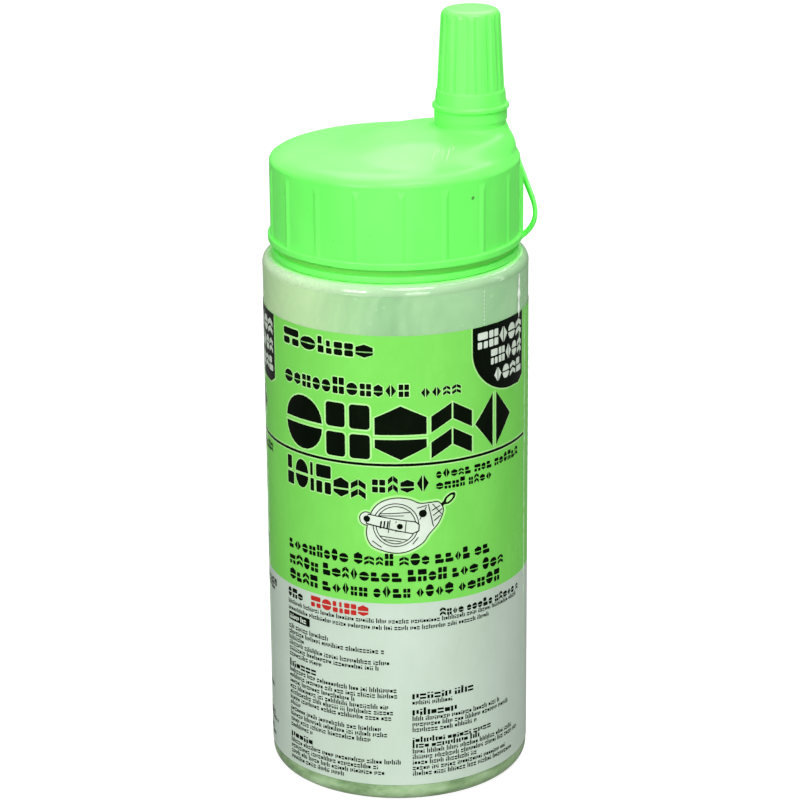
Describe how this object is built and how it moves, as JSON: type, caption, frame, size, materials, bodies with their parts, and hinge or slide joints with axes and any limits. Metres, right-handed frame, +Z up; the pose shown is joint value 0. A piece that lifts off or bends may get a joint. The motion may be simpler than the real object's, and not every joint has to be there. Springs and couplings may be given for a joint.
{
  "type": "chalk powder squeeze bottle",
  "caption": "Round squeeze bottle of powdered snap-line chalk with a printed sleeve, a wide ribbed screw closure and an offset nozzle under a tethered push-on cap.",
  "frame": {"origin": "centre of the face that the bottle stands on, on the bottle's axis", "axes": "+Z up along the bottle's axis, +X towards the offset nozzle, -Y towards the front panel of the print"},
  "size_m": [0.0699, 0.0678, 0.2008],
  "materials": {
    "bottle_plastic": "satin",
    "chalk": "matte",
    "sleeve_film": "gloss",
    "green_plastic": "satin",
    "gasket_foam": "matte",
    "black_ink": "satin",
    "green_ink": "satin",
    "red_ink": "satin"
  },
  "bodies": {
    "bottle": {"bottle": "bottle_plastic", "chalk_powder": "chalk", "shrink_sleeve": "sleeve_film"},
    "gasket": {"neck_gasket": "gasket_foam"},
    "closure": {"screw_closure": "green_plastic", "spout_nozzle": "green_plastic", "tether_ring": "green_plastic", "tether_strap": "green_plastic"},
    "nozzle_cap": {"nozzle_cap": "green_plastic"}
  },
  "joints": [
    {"name": "closure_lift", "type": "slide", "parent": "bottle", "child": "gasket", "axis": [0, 0, 1], "range_m": [0, 0.00471]},
    {"name": "closure_turn", "type": "hinge", "parent": "gasket", "child": "closure", "pos_m": [0, 0, 0.15], "axis": [0, 0, 1], "range_deg": [0, 400]},
    {"name": "cap_pull", "type": "slide", "parent": "closure", "child": "nozzle_cap", "axis": [0, 0, 1], "range_m": [0, 0.018], "deforming": ["tether_strap"]}
  ],
  "couplings": [
    {"joint": "closure_lift", "follows": "closure_turn", "m_per_rad": 0.0006737}
  ]
}
